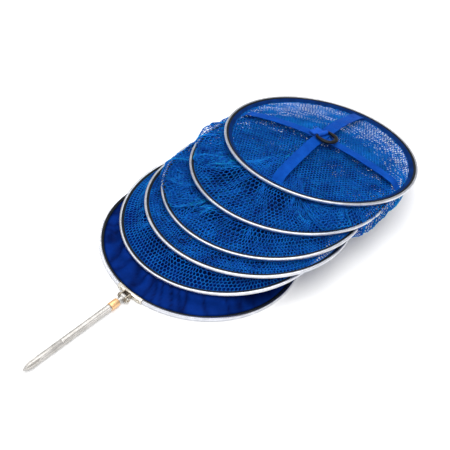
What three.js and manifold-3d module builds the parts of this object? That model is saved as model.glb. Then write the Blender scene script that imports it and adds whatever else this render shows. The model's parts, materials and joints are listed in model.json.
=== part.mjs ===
// A folding keepnet for anglers: a tube of net on six metal hoops, collapsed and fanned out on the
// ground with its mouth down, and the ground stake that pivots on the mouth hoop.
// Millimetres, +Z up. The stake points along -Y and the hoops fan out along +Y.
import * as THREE from "three";
import { mergeVertices } from "three/addons/utils/BufferGeometryUtils.js";
import Module from "manifold-3d";

const wasm = await Module();
wasm.setup();

const { degToRad } = THREE.MathUtils;

// ---------------------------------------------------------------- sizes

const CLEARANCE = 0.3; // between pieces that touch or run on each other
const HOOP_STEPS = 40; // straight facets round every hoop

// Hoops: rolled channel, open inwards, with a rubber spline pressed in to hold the net.
const HOOP = { radius: 200, height: 6, width: 4.2 };
const MOUTH = { radius: 190.4, height: 7.5, width: 4.5 };
const HOOP_LIP = 1; // height of each lip of the channel
const HOOP_BACK = 1.2; // wall behind the spline
const HOOP_CROWN = 0.7; // rounding of the outer face
const HOOP_JOINT = 0.5; // slit where the two ends of a rolled hoop meet
const SPLINE_PROUD = 2.6; // how far the spline stands out of its channel

// How each upper hoop lies in the fan: its middle's offset from the mouth hoop's, then its tilt
// about X and Y in degrees, then the bearing of its butt joint.
const FAN = [
  { name: "2", offsetX: 4.4, offsetY: 59.4, height: 34.6, tilt: [3.66, -4.89], joint: 160 },
  { name: "3", offsetX: 21.7, offsetY: 107.9, height: 47.3, tilt: [-1.29, -3.6], joint: 20 },
  { name: "4", offsetX: 19.8, offsetY: 153.8, height: 57.9, tilt: [-0.21, -4.24], joint: 130 },
  { name: "5", offsetX: 24.2, offsetY: 228.1, height: 66.1, tilt: [-3.63, -3.64], joint: 70 },
  { name: "6", offsetX: 25.3, offsetY: 327.5, height: 73, tilt: [-7.73, -2.08], joint: 37.5 },
];
const MOUTH_JOINT = -82; // bearing of the mouth hoop's butt joint, beside the bracket

// Net walls between neighbouring hoops.
const NET_THICKNESS = 0.7;
const NET_RIM = 1; // height of a wall's edge above or below the middle of its spline
const NET_LEAN = 1.2; // how far a wall stands in from its edge where it passes a hoop
const NET_OVER = 0.9; // how far a wall passes above or below a hoop's band
const NET_FALL = 0.3; // steepest fall of a wall where it has just cleared a band
const NET_SAG = 0.16; // sag of a wall as a share of its span
// Slack tucked in under a hoop.
const FOLD = {
  length: 75, // where the hoops stand at least `full` apart sideways
  full: 40,
  least: 5, // shortest fold, and the slack below which there is none
  below: 3, // how far it starts under the hoop
  drop: 0.14, // fall to its tip as a share of its length
  open: 2, // half of the room between its two layers
  floor: 1.5, // lowest that its tip may lie
};
const MITRE = 1.5; // most that a wall's skin is offset at a sharp fold, in thicknesses
const PLEAT_DEPTH = 2.2;
const PLEAT_STEPS = 4; // hoop steps in one pleat

// Closed end: a cloth hem inside the last hoop, a net panel under it and two crossed straps.
const HEM = { width: 20, thickness: 1, slope: 8 };
const PANEL = { thickness: 1.2, rise: 17, border: 5, cell: [33, 41], cord: 4.5, underHem: 4 };
const STRAP = {
  width: 24,
  thickness: 1.3,
  rise: 27,
  steps: 12,
  bearings: [7, 95.8], // of the lower and the upper strap
  aside: 15, // how far the lower strap runs beside the hoop's middle, on the stake's side
  lap: 0.7, // extra rise of the upper strap, so that it clears the lower one there
};

// Pull ring on the straps' crossing, held by a folded tab.
const RING = { width: 44, reach: 42, section: 5, bevel: 1.4, corner: 4.5, bearing: -10 };
const TAB = {
  width: 27,
  length: 24,
  webbing: 1.3,
  play: 0.4, // room round the ring's bar
  wrap: 112, // bearing, seen from the side, at which the upper layer leaves the bar's loop
  seam: 2.2, // where both layers lie flat again, in heights of the loop's middle
};

// Bracket on the mouth hoop.
const SADDLE = { span: 57, thickness: 1.5, below: 0.6 };
const RIVET = {
  radius: 1.4,
  head: 2.6,
  headHeight: 1.3,
  crown: [0.75, 0.7], // share of the head's radius and height where its crown begins
  spacing: 42,
  seat: 0.1, // gap between the shank's end and the hoop's clearance
};
const CLEVIS = { cheek: 1.6, height: 12.4, base: 1.6, foot: 1.4 };
const PIVOT = { radius: 2.5, height: 8, reach: 14 }; // reach: bolt axis beyond the mouth hoop
const HEX = { radius: 4.6, head: 3.2, nut: 4, tail: 1.6 };
const WASHER = { radius: 5, thickness: 1 };

// Stake: a rod on the pivot, a sleeve with a fluted point that slides along it, a locking collar.
const ROD = { radius: 4.3, eyeRadius: 5.6, endGap: 2.5 }; // endGap: from its end to the point's spigot
const BUSH = { length: 8, wall: 0.8 };
const COLLAR = { radius: 7.3, start: 14.5, length: 18.5, chamfer: 0.9, lip: 1.6, thread: 8 };
const COLLET = { wall: 1.2, length: 6.5, slit: 1 };
const TUBE = { radius: 6.3, wall: 1.4, length: 109.5 };
const GROOVE = { width: 1.7, depth: 0.7, count: 4, inset: 3 };
const POINT = { shank: 49, length: 31, full: 0.55, tip: 1.2, spigot: 10 };
const FLUTE = { width: 3.4, depth: 2.6, count: 4 };

// ---------------------------------------------------------------- geometry helpers

/** The same surface with shared corners and no collapsed faces, ready for a solid. */
function welded(geometry) {
  const bare = new THREE.BufferGeometry();
  bare.setAttribute("position", geometry.getAttribute("position").clone());
  if (geometry.index) bare.setIndex(geometry.index.clone());
  const merged = mergeVertices(bare, 1e-4);
  const faces = [];
  for (let i = 0; i < merged.index.count; i += 3) {
    const [a, b, c] = [0, 1, 2].map((k) => merged.index.getX(i + k));
    if (a !== b && b !== c && c !== a) faces.push(a, b, c);
  }
  merged.setIndex(faces);
  return merged;
}

function solidOf(geometry) {
  const g = welded(geometry);
  return new wasm.Manifold(
    new wasm.Mesh({
      numProp: 3,
      vertProperties: g.attributes.position.array,
      triVerts: new Uint32Array(g.index.array),
    }),
  );
}

function geometryOf(solid) {
  const mesh = solid.getMesh();
  const g = new THREE.BufferGeometry();
  g.setAttribute("position", new THREE.BufferAttribute(mesh.vertProperties, 3));
  g.setIndex(new THREE.BufferAttribute(mesh.triVerts, 1));
  return g;
}

function cut(body, ...tools) {
  return geometryOf(tools.reduce((s, tool) => s.subtract(solidOf(tool)), solidOf(body)));
}

function joined(...pieces) {
  return geometryOf(pieces.map(solidOf).reduce((a, b) => a.add(b)));
}

/** A closed profile of [radius, height] points, counter-clockwise, turned round +Z. */
function turned(profile, steps = 20) {
  const points = [...profile, profile[0]].map(([r, z]) => new THREE.Vector2(r, z));
  return welded(new THREE.LatheGeometry(points, steps).rotateX(Math.PI / 2));
}

/** A solid bar turned round +Z; its [radius, height] outline starts and ends on the axis. */
function turnedBar(outline, steps = 20) {
  const points = outline.map(([r, z]) => new THREE.Vector2(r, z));
  return welded(new THREE.LatheGeometry(points, steps).rotateX(Math.PI / 2));
}

function extruded(shape, depth, curveSegments = 12) {
  return new THREE.ExtrudeGeometry(shape, { depth, curveSegments, bevelEnabled: false });
}

function box(width, length, height, x = 0, y = 0, z = 0) {
  return new THREE.BoxGeometry(width, length, height).translate(x, y, z);
}

/** Turns a piece made along +Z so that it runs along -Y. */
const alongStake = (geometry) => geometry.rotateX(Math.PI / 2);

/** Turns a piece made along +Z so that it runs along +X. */
const alongPivot = (geometry) => geometry.rotateY(Math.PI / 2);

const model = new THREE.Group();

function add(parent, name, geometry, colour, roughness, metalness) {
  geometry.computeVertexNormals();
  const material = new THREE.MeshStandardMaterial({ color: colour, roughness, metalness });
  const mesh = new THREE.Mesh(geometry, material);
  mesh.name = name;
  parent.add(mesh);
  return mesh;
}

const ALUMINIUM = ["#d9dade", 0.28, 1];
const STEEL = ["#c9c4bc", 0.38, 1];
const BRASS = ["#e3b274", 0.42, 1];
const RUBBER = ["#050f16", 0.55, 0];
const NYLON = ["#e9e6dc", 0.5, 0];
const CLOTH = ["#0f2f7d", 0.85, 0];
const NET = ["#1454a0", 0.8, 0];
const WEBBING = ["#2d55b9", 0.75, 0];

// ---------------------------------------------------------------- hoops and splines

/** Radius of the spline's inner face, where the net's edges are held. */
const netRadius = (size) => size.radius - size.width - SPLINE_PROUD;

function hoopBand({ radius, height, width }, jointBearing) {
  const [top, inner, back] = [height / 2, radius - width, radius - HOOP_BACK];
  const ring = turned(
    [
      [inner, -top],
      [radius - HOOP_CROWN, -top],
      [radius, -top + 2 * HOOP_CROWN],
      [radius, top - 2 * HOOP_CROWN],
      [radius - HOOP_CROWN, top],
      [inner, top],
      [inner, top - HOOP_LIP],
      [back, top - HOOP_LIP],
      [back, -top + HOOP_LIP],
      [inner, -top + HOOP_LIP],
    ],
    HOOP_STEPS,
  );
  const slit = box(3 * width, HOOP_JOINT, 2 * height, radius).rotateZ(degToRad(jointBearing));
  return cut(ring, slit);
}

function splineRing(size) {
  const top = size.height / 2 - HOOP_LIP - CLEARANCE;
  const [inner, outer] = [netRadius(size), size.radius - HOOP_BACK - CLEARANCE];
  return turned([[inner, -top], [outer, -top], [outer, top], [inner, top]], HOOP_STEPS);
}

const mouth = new THREE.Group();
mouth.position.z = MOUTH.height / 2;
mouth.userData.size = MOUTH;
model.add(mouth);
add(mouth, "mouth_hoop", hoopBand(MOUTH, MOUTH_JOINT), ...ALUMINIUM);
add(mouth, "mouth_spline", splineRing(MOUTH), ...RUBBER);

const hoops = FAN.map(({ name, offsetX, offsetY, height, tilt, joint }) => {
  const hoop = new THREE.Group();
  hoop.position.set(offsetX, offsetY, height);
  hoop.rotation.set(degToRad(tilt[0]), degToRad(tilt[1]), 0);
  hoop.userData.size = HOOP;
  model.add(hoop);
  add(hoop, "hoop_" + name, hoopBand(HOOP, joint), ...ALUMINIUM);
  add(hoop, "spline_" + name, splineRing(HOOP), ...RUBBER);
  return hoop;
});
model.updateMatrixWorld(true);

// ---------------------------------------------------------------- net walls

/** The point of a hoop at a radius and height of its own that lies above a bearing from `axis`. */
function onBearing(hoop, radius, height, axis, bearing) {
  let angle = bearing;
  let point;
  for (let i = 0; i < 8; i++) {
    point = new THREE.Vector3(radius * Math.cos(angle), radius * Math.sin(angle), height);
    point.applyMatrix4(hoop.matrixWorld);
    const error = bearing - Math.atan2(point.y - axis.y, point.x - axis.x);
    angle += Math.atan2(Math.sin(error), Math.cos(error));
  }
  return point;
}

/** The line of a wall from the lower hoop's spline up to the upper one's, above one bearing. */
function wallLine(lower, upper, axis, bearing, pleat) {
  const [a, b] = [lower.userData.size, upper.userData.size];
  const facet = HOOP.radius * (1 - Math.cos(Math.PI / HOOP_STEPS));
  const [edgeA, edgeB] = [a, b].map((size) => netRadius(size) - facet - CLEARANCE);
  const [passA, passB] = [a, b].map((size) => size.height / 2 + NET_OVER);
  const onLower = (radius, height) => onBearing(lower, radius, height, axis, bearing);
  const onUpper = (radius, height) => onBearing(upper, radius, height, axis, bearing);
  const reach = (point) => Math.hypot(point.x - axis.x, point.y - axis.y);

  const start = onLower(edgeA, NET_RIM);
  const end = onUpper(edgeB, -NET_RIM);
  const above = onLower(edgeA - NET_LEAN, passA);
  const below = onUpper(edgeB - NET_LEAN, -passB);
  const out = reach(below) - reach(above);
  const band = a.width + SPLINE_PROUD + 2 * NET_LEAN;
  const slack = Math.max(0, Math.abs(out) - band);
  const sag = NET_SAG * slack + (pleat * Math.min(slack, 4 * band)) / (4 * band);
  const hanging = (from, to, shares) =>
    shares.map((share) => {
      const point = from.clone().lerp(to, share);
      point.z -= 4 * share * (1 - share) * sag;
      return point;
    });
  if (out > band) {
    const over = onLower(a.radius + NET_LEAN, passA); // over the lower band, then down
    below.z = Math.max(below.z, above.z - NET_FALL * slack);
    return [start, above, ...hanging(over, below, [0, 0.4, 0.75]), below, end];
  }
  if (slack > FOLD.least && out < 0) {
    // Across, under the upper band, and the slack tucked in below the upper hoop.
    const tucked = Math.min(1, slack / FOLD.full);
    const [depth, open] = [Math.max(FOLD.least, FOLD.length * tucked), FOLD.open];
    const level = -passB - FOLD.below - FOLD.drop * depth;
    const under = onUpper(b.radius + NET_LEAN, -passB);
    const tip = onUpper(edgeB - NET_LEAN - depth, level - open);
    const back = onUpper(edgeB - NET_LEAN - depth, level + open);
    under.z -= sag;
    tip.z = Math.max(tip.z, FOLD.floor);
    back.z = Math.max(back.z, tip.z + open);
    return [start, above, under, tip, back, below, end];
  }
  if (out > 0) below.z = Math.max(below.z, above.z);
  else above.z = Math.min(below.z, above.z);
  return [start, above, ...hanging(above, below, [0.25, 0.5, 0.75]), below, end];
}

/** Closes a ring of lines into columns: each line, then back along its copy on the inner side. */
function thickened(lines) {
  const [steps, last] = [lines.length, lines[0].length - 2];
  const facing = (i, j) => {
    const [here, next] = [lines[i % steps], lines[(i + 1) % steps]];
    const rise = here[j + 1].clone().sub(next[j]);
    return rise.cross(next[j + 1].clone().sub(here[j])).normalize();
  };
  return lines.map((line, i) => {
    const inside = line.map((point, j) => {
      const inwards = new THREE.Vector3();
      for (const k of [Math.max(j - 1, 0), Math.min(j, last)])
        inwards.add(facing(i, k)).add(facing(i + steps - 1, k));
      const mitre = Math.min(MITRE, 4 / inwards.length());
      return point.clone().addScaledVector(inwards.normalize(), NET_THICKNESS * mitre);
    });
    return [...line, ...inside.reverse()];
  });
}

/** A wall of net between two hoops, one closed skin with pleats where it spans a gap. */
function netWall(lower, upper) {
  const axis = lower.position.clone().lerp(upper.position, 0.5);
  const lines = [];
  for (let i = 0; i < HOOP_STEPS; i++) {
    const bearing = (2 * Math.PI * i) / HOOP_STEPS;
    const pleat = PLEAT_DEPTH * Math.cos((2 * Math.PI * i) / PLEAT_STEPS);
    lines.push(wallLine(lower, upper, axis, bearing, pleat));
  }
  return lofted(thickened(lines));
}

/**
 * Joins closed columns of points, one after another and the last to the first, into one skin.
 * A column goes up the wall's outer side and down its inner one. The inner side's faces are split
 * along the same diagonals as the outer side's, so that a twisted wall keeps its thickness.
 */
function lofted(columns) {
  const [steps, points] = [columns.length, columns[0].length];
  const faces = [];
  for (let i = 0; i < steps; i++)
    for (let j = 0; j < points; j++) {
      const [here, next] = [i * points, ((i + 1) % steps) * points];
      const up = (j + 1) % points;
      if (j < points / 2) faces.push(here + j, next + j, here + up, next + up, here + up, next + j);
      else faces.push(here + j, next + j, next + up, next + up, here + up, here + j);
    }
  const g = new THREE.BufferGeometry().setFromPoints(columns.flat());
  g.setIndex(faces);
  return g;
}

add(model, "cloth_skirt", netWall(mouth, hoops[0]), ...CLOTH);
for (let i = 1; i < hoops.length; i++)
  add(model, "net_wall_" + i, netWall(hoops[i - 1], hoops[i]), ...NET);

// ---------------------------------------------------------------- closed end

const end = hoops[hoops.length - 1];
const rimRadius = netRadius(HOOP) - CLEARANCE; // inside the last hoop's spline
const hemFall = HEM.width * Math.sin(degToRad(HEM.slope));
const hemReach = rimRadius - HEM.width * Math.cos(degToRad(HEM.slope));
const hemTop = NET_RIM + HEM.thickness;

add(
  end,
  "end_hem",
  turned(
    [
      [hemReach, hemTop - HEM.thickness - hemFall],
      [rimRadius, hemTop - HEM.thickness],
      [rimRadius, hemTop],
      [hemReach, hemTop - hemFall],
    ],
    HOOP_STEPS,
  ),
  ...CLOTH,
);

/** Diamond-meshed net, flat in its outline and then drawn up to a low dome under the straps. */
function netPanel() {
  const radius = hemReach + PANEL.underHem;
  const outline = new THREE.Shape().absarc(0, 0, radius, 0, 2 * Math.PI);
  const [dx, dy] = PANEL.cell.map((size) => size / 2);
  const [hx, hy] = [dx - PANEL.cord / 2, dy - PANEL.cord / 2];
  const rows = Math.ceil(radius / dy);
  const columns = Math.ceil(radius / dx);
  for (let row = -rows; row <= rows; row++)
    for (let column = -columns; column <= columns; column++) {
      if ((row + column) % 2) continue;
      const [x, y] = [column * dx, row * dy];
      const corners = [[x + hx, y], [x, y + hy], [x - hx, y], [x, y - hy]];
      if (corners.some(([cx, cy]) => Math.hypot(cx, cy) > radius - PANEL.border)) continue;
      outline.holes.push(new THREE.Path(corners.map(([cx, cy]) => new THREE.Vector2(cx, cy))));
    }
  const panel = extruded(outline, PANEL.thickness, HOOP_STEPS / 2);
  const dome = (reach) => PANEL.rise * (1 - (reach / radius) ** 2);
  const hemUnderside = hemTop - HEM.thickness - hemFall;
  const edge = hemUnderside - CLEARANCE - PANEL.thickness - dome(hemReach);
  const position = panel.attributes.position;
  for (let i = 0; i < position.count; i++) {
    const reach = Math.hypot(position.getX(i), position.getY(i));
    position.setZ(i, position.getZ(i) + edge + dome(reach));
  }
  return panel;
}
add(end, "end_net", netPanel(), ...NET);

/** A flat strap that bows up from rim to rim, running along +X. */
function bowedStrap(level, rise) {
  const half = Math.sqrt((rimRadius - CLEARANCE) ** 2 - (STRAP.aside + STRAP.width / 2) ** 2);
  const arc = [];
  for (let i = 0; i <= STRAP.steps; i++) {
    const x = half * ((2 * i) / STRAP.steps - 1);
    arc.push(new THREE.Vector2(x, level + rise * (1 - (x / half) ** 2)));
  }
  const raised = arc.map((p) => new THREE.Vector2(p.x, p.y + STRAP.thickness)).reverse();
  return extruded(new THREE.Shape([...arc, ...raised]), STRAP.width)
    .rotateX(Math.PI / 2)
    .translate(0, STRAP.width / 2, 0);
}

const strapLevel = hemTop + CLEARANCE;
const strapStack = STRAP.thickness + CLEARANCE + STRAP.lap;
const strapTurns = STRAP.bearings.map(degToRad);
const straps = [
  ["end_strap_lower", STRAP.rise],
  ["end_strap_upper", STRAP.rise + strapStack],
].map(([name, rise], i) => {
  const strap = add(end, name, bowedStrap(strapLevel, rise), ...WEBBING);
  strap.rotation.z = strapTurns[i];
  return strap;
});
straps[0].position.set(
  STRAP.aside * Math.sin(strapTurns[0]), -STRAP.aside * Math.cos(strapTurns[0]), 0,
);

// ---------------------------------------------------------------- pull ring and its tab

const barHole = RING.section / 2 + TAB.play;
const tabFold = barHole + TAB.webbing;

/** Side view of the tab: two layers of webbing that part round the ring's bar. */
function tabProfile() {
  const flat = 2 * TAB.webbing;
  const shape = new THREE.Shape();
  shape.moveTo(-TAB.length, 0);
  shape.lineTo(0, 0);
  shape.absarc(0, tabFold, tabFold, -Math.PI / 2, degToRad(TAB.wrap));
  shape.lineTo(-TAB.seam * tabFold, flat);
  shape.lineTo(-TAB.length, flat);
  shape.holes.push(new THREE.Path().absarc(0, tabFold, barHole, 0, 2 * Math.PI));
  return shape;
}

/** Plan of the D-shaped ring, its bar on the Y axis and its bow towards +X. */
function ringPlan() {
  const outline = (inset) => {
    const half = RING.width / 2 - inset;
    const [back, corner] = [-RING.section / 2 + inset, RING.corner - inset / 2];
    const bow = RING.reach - RING.section / 2 - RING.width / 2;
    const path = inset ? new THREE.Path() : new THREE.Shape();
    path.moveTo(back + corner, -half);
    path.lineTo(bow, -half);
    path.absarc(bow, 0, half, -Math.PI / 2, Math.PI / 2);
    path.lineTo(back + corner, half);
    path.absarc(back + corner, half - corner, corner, Math.PI / 2, Math.PI);
    path.absarc(back + corner, corner - half, corner, Math.PI, 1.5 * Math.PI);
    return path;
  };
  const plan = outline(0);
  plan.holes.push(outline(RING.section));
  return plan;
}

const crossing = new THREE.Group();
const alongUpper = -STRAP.aside / Math.sin(strapTurns[1] - strapTurns[0]);
crossing.position.set(
  alongUpper * Math.cos(strapTurns[1]),
  alongUpper * Math.sin(strapTurns[1]),
  strapLevel + STRAP.rise + strapStack + STRAP.thickness + CLEARANCE,
);
crossing.rotation.z = degToRad(RING.bearing);
end.add(crossing);

const tab = extruded(tabProfile(), TAB.width, 8)
  .rotateX(Math.PI / 2)
  .translate(0, TAB.width / 2, 0);
add(crossing, "pull_tab", tab, ...WEBBING);

const ring = new THREE.ExtrudeGeometry(ringPlan(), {
  depth: RING.section - 2 * RING.bevel,
  bevelThickness: RING.bevel,
  bevelSize: RING.bevel,
  bevelOffset: -RING.bevel,
  bevelSegments: 1,
  curveSegments: 6,
}).translate(0, 0, RING.bevel - RING.section / 2);
const pullRing = add(crossing, "pull_ring", ring, ...RUBBER);
pullRing.position.z = tabFold;

// ---------------------------------------------------------------- bracket on the mouth hoop

const saddleInner = MOUTH.radius + CLEARANCE;
const saddleOuter = saddleInner + SADDLE.thickness;
const saddleTop = MOUTH.height + CLEARANCE + SADDLE.thickness;

/** A piece of ring in plan, centred on the bracket's bearing. */
function sector(inner, outer, span) {
  const half = span / outer / 2;
  const [from, to] = [-Math.PI / 2 - half, -Math.PI / 2 + half];
  const shape = new THREE.Shape();
  shape.absarc(0, 0, outer, from, to);
  shape.absarc(0, 0, inner, to, from, true);
  return shape;
}

const rivetBearings = [-1, 1].map((s) => -Math.PI / 2 + (s * RIVET.spacing) / 2 / saddleOuter);
const rivetHeight = MOUTH.height / 2;
const atRivet = (geometry, bearing) => geometry.translate(0, 0, rivetHeight).rotateZ(bearing);

const saddle = cut(
  joined(
    extruded(sector(saddleInner, saddleOuter, SADDLE.span), saddleTop - SADDLE.below)
      .translate(0, 0, SADDLE.below),
    extruded(sector(MOUTH.radius - MOUTH.width, saddleOuter, SADDLE.span), SADDLE.thickness)
      .translate(0, 0, saddleTop - SADDLE.thickness),
  ),
  ...rivetBearings.map((bearing) => {
    const hole = new THREE.CylinderGeometry(
      RIVET.radius + CLEARANCE, RIVET.radius + CLEARANCE, 4 * SADDLE.thickness, 12,
    );
    return atRivet(hole.rotateZ(Math.PI / 2).translate(saddleOuter, 0, 0), bearing);
  }),
);
add(model, "bracket_saddle", saddle, ...STEEL);

rivetBearings.forEach((bearing, i) => {
  const shank = SADDLE.thickness + CLEARANCE;
  const rivet = turnedBar(
    [
      [0, 0],
      [RIVET.radius, 0],
      [RIVET.radius, shank],
      [RIVET.head, shank],
      [RIVET.head * RIVET.crown[0], shank + RIVET.headHeight * RIVET.crown[1]],
      [0, shank + RIVET.headHeight],
    ],
    12,
  );
  const placed = alongPivot(rivet).translate(saddleInner + RIVET.seat, 0, 0);
  add(model, ["saddle_rivet_left", "saddle_rivet_right"][i], atRivet(placed, bearing), ...STEEL);
});

const pivotY = -(MOUTH.radius + PIVOT.reach);
const cheekInner = ROD.radius + 2 * CLEARANCE + WASHER.thickness;
const cheekOuter = cheekInner + CLEVIS.cheek;
const clevisBack = -(saddleOuter + CLEARANCE);
const boltHole = PIVOT.radius + CLEARANCE;

/** Side view of one cheek, Y to the right and Z up, round at its outer end. */
function cheekProfile() {
  const round = CLEVIS.height / 2;
  const shape = new THREE.Shape();
  shape.moveTo(clevisBack, CLEVIS.foot);
  shape.lineTo(clevisBack, CLEVIS.foot + CLEVIS.height);
  shape.lineTo(pivotY, CLEVIS.foot + CLEVIS.height);
  shape.absarc(pivotY, CLEVIS.foot + round, round, Math.PI / 2, 1.5 * Math.PI);
  shape.holes.push(new THREE.Path().absarc(pivotY, PIVOT.height, boltHole, 0, 2 * Math.PI));
  return shape;
}

const cheek = () => extruded(cheekProfile(), CLEVIS.cheek, 8).rotateY(Math.PI / 2).rotateX(Math.PI / 2);
const clevis = joined(
  cheek().translate(cheekInner, 0, 0),
  cheek().translate(-cheekOuter, 0, 0),
  box(
    2 * cheekOuter, CLEVIS.base, CLEVIS.height,
    0, clevisBack - CLEVIS.base / 2, CLEVIS.foot + CLEVIS.height / 2,
  ),
);
add(model, "bracket_clevis", clevis, ...STEEL);

const pivot = new THREE.Group();
pivot.position.set(0, pivotY, PIVOT.height);
model.add(pivot);

const headStart = cheekOuter + CLEARANCE;
const boltLength = 2 * headStart + HEX.nut + HEX.tail;
const bolt = joined(
  new THREE.CylinderGeometry(PIVOT.radius, PIVOT.radius, boltLength + HEX.head / 2, 16)
    .translate(0, (boltLength - HEX.head / 2) / 2, 0),
  new THREE.CylinderGeometry(HEX.radius, HEX.radius, HEX.head, 6).translate(0, -HEX.head / 2, 0),
).rotateZ(-Math.PI / 2);
add(pivot, "pivot_bolt", bolt.translate(-headStart, 0, 0), ...STEEL);

const nut = cut(
  new THREE.CylinderGeometry(HEX.radius, HEX.radius, HEX.nut, 6),
  new THREE.CylinderGeometry(boltHole, boltHole, 2 * HEX.nut, 16),
).rotateZ(-Math.PI / 2);
add(pivot, "pivot_nut", nut.translate(headStart + HEX.nut / 2, 0, 0), ...STEEL);

["pivot_washer_left", "pivot_washer_right"].forEach((name, i) => {
  const half = WASHER.thickness / 2;
  const disc = turned(
    [[boltHole, -half], [WASHER.radius, -half], [WASHER.radius, half], [boltHole, half]],
    16,
  );
  const x = (i ? 1 : -1) * (ROD.radius + CLEARANCE + half);
  add(pivot, name, alongPivot(disc).translate(x, 0, 0), ...STEEL);
});

// ---------------------------------------------------------------- stake

// The stake droops from its pivot until the far end of the sleeve touches the ground.
const sleeveStart = COLLAR.start + COLLAR.length;
const sleeveEnd = sleeveStart + TUBE.length + POINT.shank;
const fullEnd = sleeveEnd + POINT.length * POINT.full; // where the point starts to narrow
const droop = Math.asin((PIVOT.height - TUBE.radius) / fullEnd);
const stake = new THREE.Group();
stake.rotation.x = droop;
pivot.add(stake);

const spigotStart = sleeveStart + TUBE.length + CLEARANCE - POINT.spigot;
const rodLength = spigotStart - ROD.endGap - CLEARANCE;
const rodEndRadius = ROD.radius - BUSH.wall;
const rod = cut(
  joined(
    turnedBar([
      [0, 0],
      [ROD.radius, 0],
      [ROD.radius, rodLength - BUSH.length],
      [rodEndRadius, rodLength - BUSH.length],
      [rodEndRadius, rodLength],
      [0, rodLength],
    ]).rotateX(Math.PI / 2),
    new THREE.CylinderGeometry(ROD.eyeRadius, ROD.eyeRadius, 2 * ROD.radius, 20)
      .rotateZ(Math.PI / 2),
  ),
  new THREE.CylinderGeometry(boltHole, boltHole, 4 * ROD.radius, 16).rotateZ(Math.PI / 2),
);
add(stake, "stake_rod", rod, ...STEEL);

const tubeBore = TUBE.radius - TUBE.wall;
const bush = turned([
  [rodEndRadius + CLEARANCE, rodLength - BUSH.length + CLEARANCE],
  [tubeBore - CLEARANCE / 2, rodLength - BUSH.length + CLEARANCE],
  [tubeBore - CLEARANCE / 2, rodLength],
  [rodEndRadius + CLEARANCE, rodLength],
]);
add(stake, "rod_bush", alongStake(bush), ...NYLON);

const threadRadius = COLLAR.radius - 1.3;
const rodHole = ROD.radius + CLEARANCE;
const collar = turned([
  [rodHole, COLLAR.start],
  [COLLAR.radius - COLLAR.chamfer, COLLAR.start],
  [COLLAR.radius, COLLAR.start + COLLAR.chamfer],
  [COLLAR.radius, sleeveStart - COLLAR.chamfer],
  [COLLAR.radius - COLLAR.chamfer, sleeveStart],
  [threadRadius, sleeveStart],
  [threadRadius, COLLAR.start + COLLAR.lip],
  [rodHole, COLLAR.start + COLLAR.lip],
]);
add(stake, "lock_collar", alongStake(collar), ...BRASS);

const colletStart = COLLAR.start + COLLAR.lip + CLEARANCE;
const colletRing = turned([
  [rodHole, colletStart],
  [rodHole + COLLET.wall - CLEARANCE, colletStart],
  [rodHole + COLLET.wall, colletStart + COLLET.length],
  [rodHole, colletStart + COLLET.length],
]);
const colletSlit = box(
  COLLET.slit, 2 * threadRadius, 2 * COLLET.length, 0, threadRadius, colletStart + COLLET.length / 2,
);
add(stake, "lock_collet", alongStake(cut(colletRing, colletSlit)), ...NYLON);

const neckRadius = threadRadius - CLEARANCE;
const grooveLength = TUBE.length - 2 * GROOVE.inset;
const grooves = Array.from({ length: GROOVE.count }, (_, i) =>
  box(
    2 * GROOVE.depth, GROOVE.width, grooveLength,
    TUBE.radius, 0, sleeveStart + TUBE.length / 2,
  ).rotateZ((2 * Math.PI * (i + 0.5)) / GROOVE.count),
);
const tube = cut(
  turned([
    [tubeBore, sleeveStart - COLLAR.thread],
    [neckRadius, sleeveStart - COLLAR.thread],
    [neckRadius, sleeveStart + CLEARANCE],
    [TUBE.radius, sleeveStart + CLEARANCE],
    [TUBE.radius, sleeveStart + TUBE.length],
    [tubeBore, sleeveStart + TUBE.length],
  ]),
  ...grooves,
);
add(stake, "stake_tube", alongStake(tube), ...STEEL);

const shankStart = sleeveStart + TUBE.length + CLEARANCE;
const fluteLength = POINT.length + TUBE.radius;
const flutes = Array.from({ length: FLUTE.count }, (_, i) =>
  box(2 * FLUTE.depth, FLUTE.width, fluteLength, TUBE.radius, 0, sleeveEnd + fluteLength / 2)
    .rotateZ((2 * Math.PI * (i + 0.5)) / FLUTE.count),
);
const point = cut(
  turnedBar([
    [0, spigotStart],
    [tubeBore - CLEARANCE, spigotStart],
    [tubeBore - CLEARANCE, shankStart],
    [TUBE.radius, shankStart],
    [TUBE.radius, fullEnd],
    [(2 * TUBE.radius + POINT.tip) / 3, (fullEnd + sleeveEnd + POINT.length) / 2],
    [POINT.tip, sleeveEnd + POINT.length],
    [0, sleeveEnd + POINT.length],
  ]),
  ...flutes,
);
add(stake, "stake_point", alongStake(point), ...STEEL);

// The part's origin is on the ground under the middle of its outline.
const bounds = new THREE.Box3().setFromObject(model, true);
const middle = bounds.getCenter(new THREE.Vector3());
model.position.set(-middle.x, -middle.y, -bounds.min.z);

const keepnet = new THREE.Group();
keepnet.add(model);

export default keepnet;
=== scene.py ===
"""A folding keepnet for anglers, collapsed and fanned out on a pale floor with its mouth down.

Six metal hoops hold a cloth mouth section and four sections of knotless net, a net end with two
crossed straps and a pull ring, and a telescopic ground stake that folds on the mouth hoop.
Shapes are made in millimetres and put into the frame in metres.
"""
import json
import math

import bmesh
import bpy
import numpy as np
from mathutils import Matrix, Vector, noise
from mathutils.kdtree import KDTree

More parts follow.
